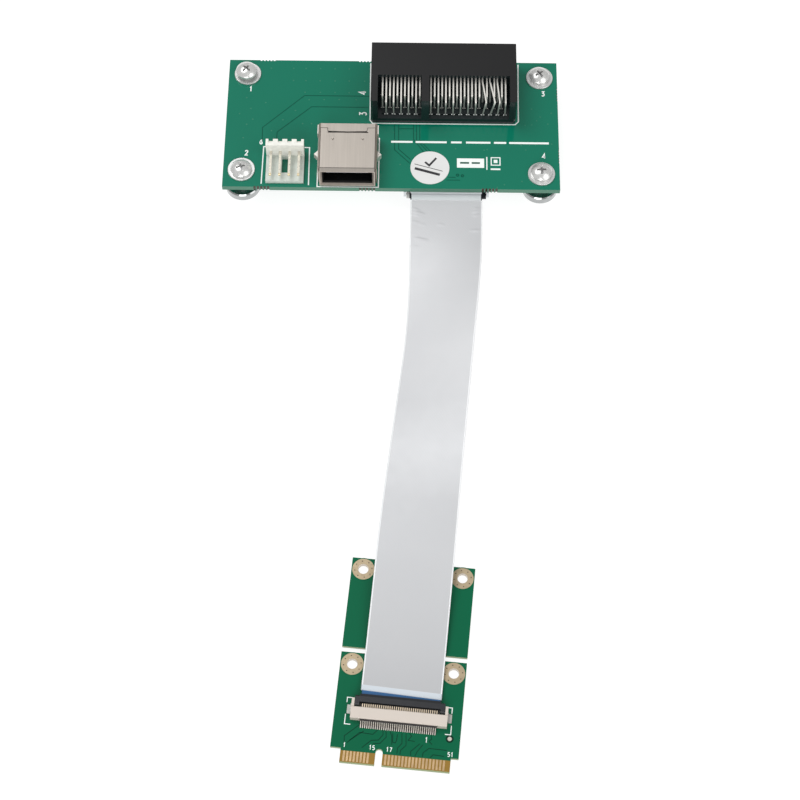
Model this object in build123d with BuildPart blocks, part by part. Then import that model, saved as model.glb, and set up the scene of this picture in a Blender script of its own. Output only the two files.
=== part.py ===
from build123d import *
import math
import os

# Adapter of two boards: a main board on four screwed-on feet, with a right-angle card slot,
# a wide receptacle and a power header, and a small edge card, linked by a flat ribbon.
# +X runs along the main board, +Y towards its card slot, +Z up from the surface it stands on.

# Main board: x is counted from its middle and y from its front edge
board_width = 89.8
board_depth = 41.4
board_thickness = 1.6
board_hole_diameter = 3.2
hole_spacing_x = 80.0
hole_front_inset = 5.0
hole_rear_inset = 5.0
bite_diameter = 0.6
bite_pitch = 0.9
bite_count = 5
front_bites_x = (-34.45, -6.35, 26.2)
rear_bites_x = (-34.45, -7.35)
right_bites_y = (10.6, 30.8)

# Feet, washers and screws
foot_diameter = 9.0
foot_height = 2.5
foot_bevel = 0.3
collar_diameter = 5.5
collar_height = 3.55
foot_bore = 3.0
washer_diameter = 7.2
washer_bore = 3.6
washer_thickness = 0.5
screw_diameter = 2.9
screw_length = 7.0
head_diameter = 5.8
head_height = 1.8
head_rim = 0.7
head_bands = ((1, 0), (0.86, 0.55), (0.6, 0.88), (0, 1))
cross_length = 3.2
cross_width = 0.75
cross_depth = 1.0
raised_screw_lift = 1.0
washer_shift = 0.3

# Card slot: its 64 contacts stand in two rows of 32, with a gap at the key
slot_x = 13.77
slot_y = 21.1
slot_length = 39.0
slot_depth = 19.25
slot_height = 9.8
slot_roof_depth = 10.7
slot_roof_thickness = 1.0
slot_core_depth = 9.1
slot_base_height = 1.85
slot_end_wall = 1.85
slot_mouth_height = 1.8
slot_mouth_centre = 5.6
slot_mouth_depth = 8.1
slot_mouth_inset = 1.5
slot_key_width = 2.1
slot_chamfer = 0.5
pin_pitch = 1.0
pins_before_key = 11
pins_after_key = 21
key_gap = 3.0
first_pin_x = -2.63
pin_width = 0.46
pin_thickness = 0.3
pin_run_height = 7.4
pin_row_pitch = 2.1
outer_row_y = 1.5
pin_below_board = 0.8
pin_tip_clearance = 1.2
pin_bow_start = 1.2
pin_bow_length = 1.6
pin_bow_rise = 0.5
pin_preload = 0.05

# Wide receptacle: a flared inner shell under a folded cover
port_x = -11.58
port_front = 0.27
port_sheet = 0.3
port_inner_width = 12.5
port_inner_height = 5.12
port_centre_height = 3.83
port_flare_length = 1.1
port_flare_width = 14.8
port_flare_height = 6.7
cover_front = 1.57
cover_rear = 15.7
cover_width = 15.6
cover_slot_length = 10.7
cover_slot_width = 0.35
cover_slot_from_rear = 2.8
dimple_spacing = 8.0
dimple_from_rear = 4.9
dimple_diameter = 0.7
dimple_tip_diameter = 0.2
lock_reach = 1.15
lock_width = 2.4
lock_height = 3.4
lock_y = 7.25
leg_width = 1.3
leg_y = (3.4, 13.1)
insulator_block_depth = 4.4
tongue_width = 11.1
tongue_thickness = 1.84
tongue_front_gap = 1.6
tongue_roof_gap = 0.55
port_contact_pitch = 2.2
port_contact_width = 1.0
port_contact_count = 4

# Power header: a shelf, a notched back wall and four bent pins
header_x = -28.32
header_width = 10.1
header_front = 1.15
shelf_thickness = 1.2
shelf_depth = 8.0
wall_thickness = 2.05
wall_height = 6.0
notch_width = 1.2
notch_depth = 1.0
shelf_hole_width = 1.75
shelf_hole_length = 5.0
shelf_hole_front = 2.6
header_pin_pitch = 2.5
header_pin_count = 4
header_pin_size = 0.64
header_pin_height = 3.0
header_pin_tip = 0.5
header_bend_gap = 0.45

# Round sticker
sticker_x = 10.28
sticker_y = 6.55
sticker_diameter = 10.4
sticker_thickness = 0.12

# Flip-latch ribbon connector, in its own frame: x along it, y towards the ribbon, z off the board
ribbon_ways = 36
ribbon_pitch = 0.5
housing_length = 22.7
housing_height = 2.0
housing_chamfer = 0.15
bar_depth = 2.8
floor_thickness = 0.45
ear_depth = 4.8
ear_width = 0.65
slit_height = 1.15
pocket_depth = 1.6
contact_width = 0.2
contact_sheet = 0.2
beam_sheet = 0.3
spine_back = 0.5
spine_width = 0.4
beam_reach = 0.9
tail_reach = 1.75
tail_bend = 0.65
riser_lean = 0.25
latch_gap = 0.1
latch_heel = 4.0
latch_tip = 6.05
latch_thickness = 0.8
latch_arm_back = 3.15
latch_arm_tip = 5.6
latch_arm_width = 1.05
latch_bevel = 0.35
hinge_y = 4.25
hinge_height = 1.5
hinge_pin_diameter = 0.5
hinge_clearance = 0.05
hinge_pin_length = 0.35
nail_reach = 1.0
nail_y = 1.4
nail_width = 2.15
nail_sheet = 0.2
nail_height = 1.4

# Ribbon, with a stiffened end in each connector
ribbon_width = 18.5
ribbon_thickness = 0.3
stiffener_end = 7.1
ribbon_height = 0.95
ribbon_first_bend_y = 38.1
ribbon_bends = ((13.5, 16.3, 6.7), (10.9, -8.9, 7.2), (8.3, -35.1, 6.0))
ribbon_card_run = 15.5
ribbon_arc_share = 0.45

# Where the ribbon's connectors sit, and how far the edge card lies from the main board
board_connector_x = 14.71
latch_overhang = 1.5
card_reach = 154.7
card_x = 2.6
card_turn = -5.05

# Edge card: u across it from its middle, v up from the end of its tongue
card_width = 30.0
card_length = 50.95
card_thickness = 1.0
tongue_left = -12.5
tongue_right = 13.2
tongue_length = 3.45
key_u = -3.5
key_width = 1.7
key_depth = 4.0
card_hole_diameter = 2.6
card_hole_spacing_u = 24.2
card_hole_low_v = 23.9
card_hole_high_v = 48.1
land_diameter = 5.8
foil = 0.05
break_low_v = 26.8
break_height = 1.3
break_bridge = 12.0
finger_pitch = 0.8
finger_width = 0.48
finger_low_v = 0.35
finger_length = 2.45
fingers_left = 8
fingers_right = 18
first_finger_u = -11.6
first_right_finger_u = -1.9
card_connector_u = 0.25
card_connector_v = 10.3
tongue_bevel = 0.2

os.makedirs("parts", exist_ok=True)

# The two boards' places: the whole part is centred on the origin along Y
turn = math.radians(card_turn)
overall_length = board_depth + card_reach - tongue_right * math.sin(turn)
front_y = overall_length / 2 - board_depth
underside = foot_height + collar_height
deck_height = underside + board_thickness
deck = Plane(origin=(0, front_y, deck_height))
card_deck = Plane(
    origin=(card_x, front_y - card_reach, card_thickness),
    x_dir=(math.cos(turn), math.sin(turn), 0),
    z_dir=(0, 0, 1),
)
board_seat = Plane(
    origin=(board_connector_x, front_y + latch_tip - latch_overhang, underside),
    x_dir=(1, 0, 0),
    z_dir=(0, 0, -1),
)
card_seat = Plane(
    origin=card_deck.from_local_coords((card_connector_u, card_connector_v, 0)),
    x_dir=card_deck.x_dir,
    z_dir=card_deck.z_dir,
)
above = (Align.CENTER, Align.CENTER, Align.MIN)
below = (Align.CENTER, Align.CENTER, Align.MAX)
forward = (Align.CENTER, Align.MIN, Align.MIN)


def profile_planes(plane, positions):
    """Planes that look along the given plane's x: their x is its y, and their y is its z."""
    return [
        Plane(
            origin=plane.from_local_coords((x, 0, 0)), x_dir=plane.y_dir, z_dir=plane.x_dir
        )
        for x in positions
    ]


def spread(count, pitch):
    """Places along a row, centred on zero."""
    return [(i - (count - 1) / 2) * pitch for i in range(count)]


def save(shape, name):
    shape.label = name
    export_step(shape, f"parts/{name}.step")


# Places of the slot's pins, the header's pins and the receptacle's contacts along the board
pin_x = [first_pin_x + i * pin_pitch for i in range(pins_before_key)]
pin_x += [pin_x[-1] + key_gap + i * pin_pitch for i in range(pins_after_key)]
key_x = first_pin_x + (pins_before_key - 1) * pin_pitch + key_gap / 2
header_pin_x = [header_x + x for x in spread(header_pin_count, header_pin_pitch)]
port_contact_x = [port_x + x for x in spread(port_contact_count, port_contact_pitch)]
port_tail_y = cover_rear - port_sheet - insulator_block_depth / 2
header_bend_y = header_front + shelf_depth + wall_thickness + header_bend_gap
header_bend_y += header_pin_size / 2
row_y = [slot_y + outer_row_y + i * pin_row_pitch for i in range(4)]
hole_y = (hole_front_inset, board_depth - hole_rear_inset)
hole_places = [(x, y) for x in (-hole_spacing_x / 2, hole_spacing_x / 2) for y in hole_y]


# Main board
with BuildPart(deck) as main_board:
    with Locations((0, 0, -board_thickness)):
        Box(board_width, board_depth, board_thickness, align=forward)
    with Locations(*hole_places):
        Hole(board_hole_diameter / 2)
    front_bites = [(x + s, 0) for x in front_bites_x for s in spread(bite_count, bite_pitch)]
    rear_bites = [
        (x + s, board_depth) for x in rear_bites_x for s in spread(bite_count, bite_pitch)
    ]
    right_bites = [
        (board_width / 2, y + s) for y in right_bites_y for s in spread(bite_count, bite_pitch)
    ]
    with BuildSketch(deck):
        with Locations(*front_bites, *rear_bites, *right_bites):
            RegularPolygon(bite_diameter / 2, 8)
        # Holes of the slot's pins, alternately in the two rows of each side
        pin_places = [(x, row_y[1 - i % 2]) for i, x in enumerate(pin_x)]
        pin_places += [(x, row_y[3 - i % 2]) for i, x in enumerate(pin_x)]
        with Locations(*pin_places):
            Rectangle(pin_width, pin_thickness)
        with Locations(*[(x, header_bend_y) for x in header_pin_x]):
            Rectangle(header_pin_size, header_pin_size)
        with Locations(*[(x, port_tail_y) for x in port_contact_x]):
            Rectangle(port_contact_width / 2, port_sheet)
        leg_x = cover_width / 2 - port_sheet / 2
        with Locations(*[(port_x + s * leg_x, y) for s in (-1, 1) for y in leg_y]):
            Rectangle(port_sheet, leg_width)
    extrude(amount=-board_thickness, mode=Mode.SUBTRACT)
save(main_board.part, "main_board")


# A foot is a turned disc with a collar, tapped for its screw
with BuildPart() as foot:
    with BuildSketch(Plane.XZ):
        with BuildLine():
            Polyline(
                (foot_bore / 2, 0),
                (foot_diameter / 2, 0),
                (foot_diameter / 2, foot_height),
                (collar_diameter / 2, foot_height),
                (collar_diameter / 2, underside),
                (foot_bore / 2, underside),
                close=True,
            )
        make_face()
    revolve(axis=Axis.Z)
    rims = foot.edges().filter_by(GeomType.CIRCLE)
    chamfer(rims.filter_by(lambda e: abs(e.radius - foot_diameter / 2) < 0.01), foot_bevel)

with BuildPart() as board_feet:
    with Locations(*[(x, front_y + y, 0) for x, y in hole_places]):
        add(foot.part)
save(board_feet.part, "board_feet")

# Washers lie a little off centre under their screws
with BuildPart() as board_washers:
    shifts = ((0.1, -1.1), (1, -0.5), (0.6, -0.7), (0.6, -0.9))
    with Locations(
        *[
            (x + washer_shift * sx, front_y + y + washer_shift * sy, deck_height)
            for (x, y), (sx, sy) in zip(hole_places, shifts)
        ]
    ):
        Cylinder(washer_diameter / 2, washer_thickness, align=above)
        Cylinder(washer_bore / 2, washer_thickness, align=above, mode=Mode.SUBTRACT)
save(board_washers.part, "board_washers")

# A screw with a pan head and a cross recess, its origin under the head. The head's bands are
# given as parts of its radius and of its rise above the rim.
head_rise = head_height - head_rim
with BuildPart() as screw:
    with BuildSketch(Plane.XZ):
        with BuildLine():
            Polyline(
                (0, 0),
                (head_diameter / 2, 0),
                *[(r * head_diameter / 2, head_rim + z * head_rise) for r, z in head_bands],
                close=True,
            )
        make_face()
    revolve(axis=Axis.Z)
    Cylinder(screw_diameter / 2, screw_length, align=below)
    with BuildSketch(Plane.XY.offset(head_height)):
        Rectangle(cross_length, cross_width)
        Rectangle(cross_width, cross_length)
    extrude(amount=-cross_depth, mode=Mode.SUBTRACT)

# The screw at the left rear corner isn't driven home
with BuildPart() as board_screws:
    for (x, y), lift, spin in zip(hole_places, (0, raised_screw_lift, 0, 0), (20, 50, 5, 35)):
        seat_height = deck_height + washer_thickness + lift
        with Locations(Location((x, front_y + y, seat_height), (0, 0, spin))):
            add(screw.part)
save(board_screws.part, "board_screws")


# Slot housing: roof and core at the rear, side walls, key rib and base in front
slot_left = slot_x - slot_length / 2
slot_right = slot_x + slot_length / 2
core_y = slot_y + slot_depth - slot_core_depth
with BuildPart(deck) as slot_housing:
    with BuildSketch(*profile_planes(deck, [slot_left])):
        with BuildLine():
            Polyline(
                (slot_y, 0),
                (slot_y + slot_depth, 0),
                (slot_y + slot_depth, slot_height),
                (slot_y, slot_height),
                close=True,
            )
        make_face()
    extrude(amount=slot_length)
    corners = slot_housing.edges().filter_by(Axis.Z).group_by(Axis.Y)[0]
    chamfer(corners, slot_chamfer)
    # The two windows over the bent contacts, and the roof's overhang above them
    window_spans = (
        (slot_left + slot_end_wall, key_x - slot_key_width / 2),
        (key_x + slot_key_width / 2, slot_right - slot_end_wall),
    )
    roof_y = slot_y + slot_depth - slot_roof_depth
    for low, high in window_spans:
        with Locations(((low + high) / 2, slot_y, slot_base_height)):
            Box(
                high - low,
                core_y - slot_y,
                slot_height - slot_base_height - slot_roof_thickness,
                align=forward,
                mode=Mode.SUBTRACT,
            )
        with Locations(((low + high) / 2, slot_y, slot_height - slot_roof_thickness)):
            Box(
                high - low,
                roof_y - slot_y,
                slot_roof_thickness,
                align=forward,
                mode=Mode.SUBTRACT,
            )
    # The mouth takes a card edge from the rear, with recesses for the contact springs
    mouth_low = slot_mouth_centre - slot_mouth_height / 2
    mouth_spans = (
        (slot_left + slot_mouth_inset, key_x - slot_key_width / 2),
        (key_x + slot_key_width / 2, slot_right - slot_mouth_inset),
    )
    rear_y = slot_y + slot_depth
    spring_depth = slot_mouth_depth - pin_tip_clearance
    run_rise = pin_run_height - slot_mouth_centre + pin_thickness
    for low, high in mouth_spans:
        with Locations(((low + high) / 2, rear_y - slot_mouth_depth, mouth_low)):
            Box(high - low, slot_mouth_depth, slot_mouth_height, align=forward, mode=Mode.SUBTRACT)
    for i, j in ((0, pins_before_key - 1), (pins_before_key, -1)):
        middle = (pin_x[i] + pin_x[j]) / 2
        across = pin_x[j] - pin_x[i] + pin_width
        with Locations(
            (middle, rear_y - slot_mouth_depth, slot_mouth_centre - run_rise)
        ):
            Box(across, spring_depth, 2 * run_rise, align=forward, mode=Mode.SUBTRACT)
        for height in (pin_run_height, 2 * slot_mouth_centre - pin_run_height):
            with Locations((middle, core_y, height - pin_thickness / 2)):
                Box(
                    across,
                    slot_core_depth - slot_mouth_depth,
                    pin_thickness,
                    align=forward,
                    mode=Mode.SUBTRACT,
                )
        # Slits of the base, one for each row of tails
        for y in row_y:
            with Locations((middle, y, 0)):
                Box(across, pin_thickness, slot_base_height, align=above, mode=Mode.SUBTRACT)
save(slot_housing.part, "slot_housing")


def slot_pins(positions, tail_y, side):
    """Bent spring contacts above (side 1) or below (side -1) the card mouth."""
    half = pin_thickness / 2
    run = slot_mouth_centre + side * (pin_run_height - slot_mouth_centre)
    touch = slot_mouth_centre + side * (slot_mouth_height / 2 + half - pin_preload)
    tip = touch + side * pin_bow_rise
    tip_y = rear_y - slot_mouth_depth + spring_depth - pin_thickness
    bow_y = core_y + pin_bow_start
    foot_z = -board_thickness - pin_below_board
    with BuildPart() as pins:
        with BuildSketch(*profile_planes(deck, positions)):
            with BuildLine():
                Polyline(
                    (tail_y - half, foot_z),
                    (tail_y + half, foot_z),
                    (tail_y + half, run - half),
                    (bow_y, run - half),
                    (tip_y - pin_bow_length, touch - half),
                    (tip_y, tip - half),
                    (tip_y, tip + half),
                    (tip_y - pin_bow_length, touch + half),
                    (bow_y, run + half),
                    (tail_y - half, run + half),
                    close=True,
                )
            make_face()
        extrude(amount=pin_width / 2, both=True)
    return pins.part


save(slot_pins(pin_x[0::2], row_y[1], 1), "slot_pins_upper_inner")
save(slot_pins(pin_x[1::2], row_y[0], 1), "slot_pins_upper_outer")
save(slot_pins(pin_x[0::2], row_y[3], -1), "slot_pins_lower_inner")
save(slot_pins(pin_x[1::2], row_y[2], -1), "slot_pins_lower_outer")


# Wide receptacle
port_plane = Plane(origin=deck.from_local_coords((port_x, 0, 0)), x_dir=(1, 0, 0))
shell_front = port_front + port_flare_length
shell_width = port_inner_width + 2 * port_sheet
shell_height = port_inner_height + 2 * port_sheet
shell_rear = cover_rear - port_sheet


def port_plane_at(y):
    """A plane across the receptacle's mouth, at a distance behind the board's front edge."""
    middle = deck.from_local_coords((port_x, y, port_centre_height))
    return Plane(origin=middle, x_dir=(1, 0, 0), z_dir=(0, -1, 0))


lip_width = port_flare_width - 2 * port_sheet
lip_height = port_flare_height - 2 * port_sheet
with BuildPart() as port_shell:
    with BuildSketch(port_plane_at(shell_rear)):
        Rectangle(shell_width, shell_height)
    extrude(amount=shell_rear - shell_front)
    with BuildSketch(port_plane_at(shell_front)):
        Rectangle(shell_width, shell_height)
    with BuildSketch(port_plane_at(port_front)):
        Rectangle(port_flare_width, port_flare_height)
    loft()
    with BuildSketch(port_plane_at(shell_rear)):
        Rectangle(port_inner_width, port_inner_height)
    extrude(amount=shell_rear - shell_front, mode=Mode.SUBTRACT)
    with BuildSketch(port_plane_at(shell_front)):
        Rectangle(port_inner_width, port_inner_height)
    with BuildSketch(port_plane_at(port_front)):
        Rectangle(lip_width, lip_height)
    loft(mode=Mode.SUBTRACT)
save(port_shell.part, "port_shell")

# The cover folds over the shell and down both sides and the rear, with lock tabs and legs
cover_top = port_centre_height + shell_height / 2 + port_sheet
with BuildPart(port_plane) as port_cover:
    with Locations((0, cover_front, 0)):
        Box(cover_width, cover_rear - cover_front, cover_top, align=forward)
    with Locations((0, cover_front, 0)):
        Box(
            cover_width - 2 * port_sheet,
            shell_rear - cover_front,
            cover_top - port_sheet,
            align=forward,
            mode=Mode.SUBTRACT,
        )
    top_edges = port_cover.edges().filter_by(Axis.Y).group_by(Axis.Z)[-1]
    fillet(top_edges, 2 * port_sheet)
    with Locations((0, cover_rear - cover_slot_from_rear, cover_top - port_sheet)):
        Box(cover_slot_length, cover_slot_width, port_sheet, align=above, mode=Mode.SUBTRACT)
    with Locations(
        *[
            (x, cover_rear - dimple_from_rear, cover_top)
            for x in (-dimple_spacing / 2, dimple_spacing / 2)
        ]
    ):
        Cone(
            dimple_tip_diameter / 2,
            dimple_diameter / 2,
            port_sheet,
            align=below,
            mode=Mode.SUBTRACT,
        )
    # Each lock tab stands out to a point
    for side in (-1, 1):
        outer = side * cover_width / 2
        with BuildSketch(port_plane.offset(cover_top - port_sheet - lock_height)):
            with BuildLine():
                Polyline(
                    (outer, lock_y - lock_width / 2),
                    (outer + side * lock_reach, lock_y),
                    (outer, lock_y + lock_width / 2),
                    close=True,
                )
            make_face()
        extrude(amount=lock_height / 2)
    with Locations(*[(s * (cover_width - port_sheet) / 2, y, 0) for s in (-1, 1) for y in leg_y]):
        Box(
            port_sheet,
            leg_width,
            board_thickness + pin_below_board,
            align=below,
        )
save(port_cover.part, "port_cover")

with BuildPart(port_plane) as port_insulator:
    block_front = shell_rear - insulator_block_depth
    block_low = port_centre_height - port_inner_height / 2
    with Locations((0, block_front, block_low)):
        Box(port_inner_width, insulator_block_depth, port_inner_height, align=forward)
    tongue_top = port_centre_height + port_inner_height / 2 - tongue_roof_gap
    with Locations((0, port_front + tongue_front_gap, tongue_top - tongue_thickness)):
        Box(
            tongue_width,
            block_front - port_front - tongue_front_gap,
            tongue_thickness,
            align=forward,
        )
    nose = port_insulator.edges().filter_by(Axis.X).group_by(Axis.Y)[0]
    chamfer(nose, tongue_thickness / 5)
save(port_insulator.part, "port_insulator")

# Contact strips under the tongue, bent down behind it and through the board
with BuildPart() as port_contacts:
    strip_top = tongue_top - tongue_thickness
    with Locations(
        *[
            deck.from_local_coords((x, port_front + 2 * tongue_front_gap, strip_top))
            for x in port_contact_x
        ]
    ):
        Box(
            port_contact_width,
            block_front - port_front - 2 * tongue_front_gap,
            port_sheet / 2,
            align=(Align.CENTER, Align.MIN, Align.MAX),
        )
    with Locations(
        *[
            deck.from_local_coords((x, port_tail_y, -board_thickness - pin_below_board))
            for x in port_contact_x
        ]
    ):
        Box(
            port_contact_width / 2,
            port_sheet,
            board_thickness + pin_below_board + block_low - port_sheet,
            align=above,
        )
save(port_contacts.part, "port_contacts")


# Power header
wall_y = header_front + shelf_depth
header_plane = Plane(origin=deck.from_local_coords((header_x, 0, 0)), x_dir=(1, 0, 0))
with BuildPart(header_plane) as header_body:
    with Locations((0, header_front, 0)):
        Box(header_width, shelf_depth + wall_thickness, shelf_thickness, align=forward)
    with Locations((0, wall_y, 0)):
        Box(header_width, wall_thickness, wall_height, align=forward)
    with Locations((0, header_front + shelf_hole_front, 0)):
        Box(
            shelf_hole_width,
            shelf_hole_length,
            shelf_thickness,
            align=forward,
            mode=Mode.SUBTRACT,
        )
    pin_offsets = spread(header_pin_count, header_pin_pitch)
    rear_half = wall_thickness / 2
    with Locations(*[(x, wall_y + rear_half, wall_height - notch_depth) for x in pin_offsets]):
        Box(notch_width, rear_half, notch_depth, align=forward, mode=Mode.SUBTRACT)
    pin_low = header_pin_height - header_pin_size / 2
    with Locations(*[(x, wall_y, pin_low) for x in pin_offsets]):
        Box(header_pin_size, wall_thickness, header_pin_size, align=forward, mode=Mode.SUBTRACT)
save(header_body.part, "header_body")

with BuildPart() as header_pins:
    half = header_pin_size / 2
    with BuildSketch(*profile_planes(deck, header_pin_x)):
        with BuildLine():
            Polyline(
                (header_front + header_pin_tip, header_pin_height - half),
                (header_bend_y - half, header_pin_height - half),
                (header_bend_y - half, -board_thickness - pin_below_board),
                (header_bend_y + half, -board_thickness - pin_below_board),
                (header_bend_y + half, header_pin_height + half),
                (header_front + header_pin_tip, header_pin_height + half),
                close=True,
            )
        make_face()
    extrude(amount=half, both=True)
    tips = header_pins.faces().filter_by(Axis.Y).group_by(Axis.Y)[0]
    chamfer(tips.edges(), half / 3)
save(header_pins.part, "header_pins")


# Round sticker
with BuildPart(deck) as round_sticker:
    with Locations((sticker_x, sticker_y, 0)):
        Cylinder(sticker_diameter / 2, sticker_thickness, align=above)
save(round_sticker.part, "round_sticker")


# Flip-latch connector
contact_x = spread(ribbon_ways, ribbon_pitch)
half_length = housing_length / 2
slit_length = ribbon_ways * ribbon_pitch + 2 * contact_width
hinge_x = half_length - ear_width


def ffc_housing(seat):
    """A floor, a bar with a slit for the contacts, and two ears that hold the latch."""
    with BuildPart(seat) as housing:
        Box(housing_length, bar_depth, housing_height, align=forward)
        Box(housing_length, ear_depth, floor_thickness, align=forward)
        rear = housing.edges().filter_by(lambda e: abs(e.length - housing_length) < 0.01)
        chamfer(rear.sort_by(Axis.Z if seat.z_dir.Z > 0 else -Axis.Z)[-2:], housing_chamfer)
        for side in (-1, 1):
            with Locations((side * (half_length - ear_width / 2), bar_depth, 0)):
                Box(ear_width, ear_depth - bar_depth, housing_height, align=forward)
            arm_x = side * (hinge_x - latch_arm_width / 2 - latch_gap)
            with Locations((arm_x, bar_depth, 0)):
                Box(
                    latch_arm_width + 2 * latch_gap,
                    ear_depth - bar_depth,
                    floor_thickness,
                    align=forward,
                    mode=Mode.SUBTRACT,
                )
        with Locations((0, 0, floor_thickness)):
            Box(slit_length, bar_depth, slit_height, align=forward, mode=Mode.SUBTRACT)
        with Locations((0, bar_depth - pocket_depth, ribbon_height - ribbon_thickness / 2)):
            Box(
                ribbon_width,
                pocket_depth,
                ribbon_thickness,
                align=forward,
                mode=Mode.SUBTRACT,
            )
        with BuildSketch(*profile_planes(seat, [-hinge_x - hinge_pin_length, hinge_x])):
            with Locations((hinge_y, hinge_height)):
                Circle(hinge_pin_diameter / 2 + hinge_clearance)
        extrude(amount=hinge_pin_length, mode=Mode.SUBTRACT)
    return housing.part


def ffc_contacts(seat):
    """Forked contacts: a solder foot, a riser behind the housing, and two beams through it."""
    low = floor_thickness
    upper_beam = floor_thickness + slit_height
    spine_front = bar_depth - pocket_depth - spine_back + spine_width
    beam_tip = bar_depth + spine_back
    with BuildPart() as contacts:
        with BuildSketch(*profile_planes(seat, contact_x)):
            with BuildLine():
                Polyline(
                    (-tail_reach, 0),
                    (-tail_bend, 0),
                    (riser_lean - tail_bend, low),
                    (beam_tip, low),
                    (beam_tip, low + contact_sheet),
                    (spine_front, low + contact_sheet),
                    (spine_front, upper_beam - beam_sheet),
                    (bar_depth + beam_reach, upper_beam - beam_sheet),
                    (bar_depth + beam_reach, upper_beam),
                    (riser_lean - tail_bend - contact_sheet, upper_beam),
                    (-tail_bend - contact_sheet, contact_sheet),
                    (-tail_reach, contact_sheet),
                    close=True,
                )
            make_face()
        extrude(amount=contact_width / 2, both=True)
    return contacts.part


def ffc_latch(seat):
    """A plate that lies over the ribbon, with an arm and a hinge pin at each end."""
    low = housing_height - latch_thickness
    arm_out = hinge_x - latch_gap
    arm_in = arm_out - latch_arm_width
    with BuildPart() as latch:
        with BuildSketch(*profile_planes(seat, [-arm_in])):
            with BuildLine():
                Polyline(
                    (latch_heel, low),
                    (latch_tip, low),
                    (latch_tip, housing_height - latch_bevel),
                    (latch_tip - 2 * latch_bevel, housing_height),
                    (latch_heel, housing_height),
                    close=True,
                )
            make_face()
        extrude(amount=2 * arm_in)
        with BuildSketch(*profile_planes(seat, [-arm_out, arm_in])):
            with BuildLine():
                Polyline(
                    (latch_arm_back, low),
                    (latch_arm_tip, low),
                    (latch_arm_tip, housing_height - latch_bevel),
                    (latch_arm_tip - latch_bevel, housing_height),
                    (latch_arm_back + latch_bevel, housing_height),
                    (latch_arm_back, housing_height - latch_bevel),
                    close=True,
                )
            make_face()
        extrude(amount=latch_arm_width)
        with BuildSketch(*profile_planes(seat, [-arm_out - hinge_pin_length, arm_out])):
            with Locations((hinge_y, hinge_height)):
                Circle(hinge_pin_diameter / 2)
        extrude(amount=hinge_pin_length)
    return latch.part


def ffc_nails(seat):
    """A bent metal tab at each end that anchors the housing."""
    with BuildPart(seat) as nails:
        for side in (-1, 1):
            with Locations((side * (half_length + nail_reach / 2), nail_y, 0)):
                Box(nail_reach, nail_width, nail_sheet, align=forward)
            with Locations((side * (half_length + nail_sheet / 2), nail_y, 0)):
                Box(nail_sheet, nail_width, nail_height, align=forward)
    return nails.part


def ribbon_end(seat):
    """The ribbon's stiffened end, from the housing's pocket to where the ribbon is free."""
    start = bar_depth - pocket_depth
    with BuildPart(seat) as end:
        with Locations((0, start, ribbon_height - ribbon_thickness / 2)):
            Box(ribbon_width, stiffener_end - start, ribbon_thickness, align=forward)
    return end.part


for seat, name in ((board_seat, "board"), (card_seat, "card")):
    save(ffc_housing(seat), f"{name}_ribbon_housing")
    save(ffc_contacts(seat), f"{name}_ribbon_contacts")
    save(ffc_latch(seat), f"{name}_ribbon_latch")
    save(ffc_nails(seat), f"{name}_ribbon_anchors")
    save(ribbon_end(seat), f"ribbon_end_at_{name}")


# Ribbon: straight out of one connector, over in a low arch, and flat into the other
ribbon_start = board_seat.from_local_coords((0, stiffener_end, ribbon_height))
ribbon_finish = card_seat.from_local_coords((0, stiffener_end, ribbon_height))
ribbon_route = [
    ribbon_start,
    (board_connector_x, ribbon_first_bend_y, underside - ribbon_height),
    *ribbon_bends,
    card_seat.from_local_coords((0, stiffener_end + ribbon_card_run, ribbon_height)),
    ribbon_finish,
]


def route_radii(points):
    """As large an arc at each corner as its two runs allow."""
    places = [Vector(*p) if isinstance(p, tuple) else Vector(p) for p in points]
    radii = []
    for a, b, c in zip(places, places[1:], places[2:]):
        half_turn = math.radians((b - a).get_angle(c - b)) / 2
        run = ribbon_arc_share * min((b - a).length, (c - b).length)
        radii.append(run / math.tan(half_turn))
    return radii


ribbon_radii = route_radii(ribbon_route)
with BuildPart() as ribbon_cable:
    with BuildLine() as ribbon_line:
        FilletPolyline(*ribbon_route, radius=ribbon_radii)
    with BuildSketch(Plane(origin=ribbon_start, x_dir=(1, 0, 0), z_dir=(0, -1, 0))):
        Rectangle(ribbon_width, ribbon_thickness)
    sweep()
save(ribbon_cable.part, "ribbon_cable")
ribbon_length = sum(edge.length for edge in ribbon_line.line.edges())
print("ribbon radii", [round(r) for r in ribbon_radii])
print("ribbon length", round(ribbon_length, 1))
section = ribbon_width * ribbon_thickness
print("ribbon volume over section and length", ribbon_cable.part.volume / section / ribbon_length)


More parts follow.
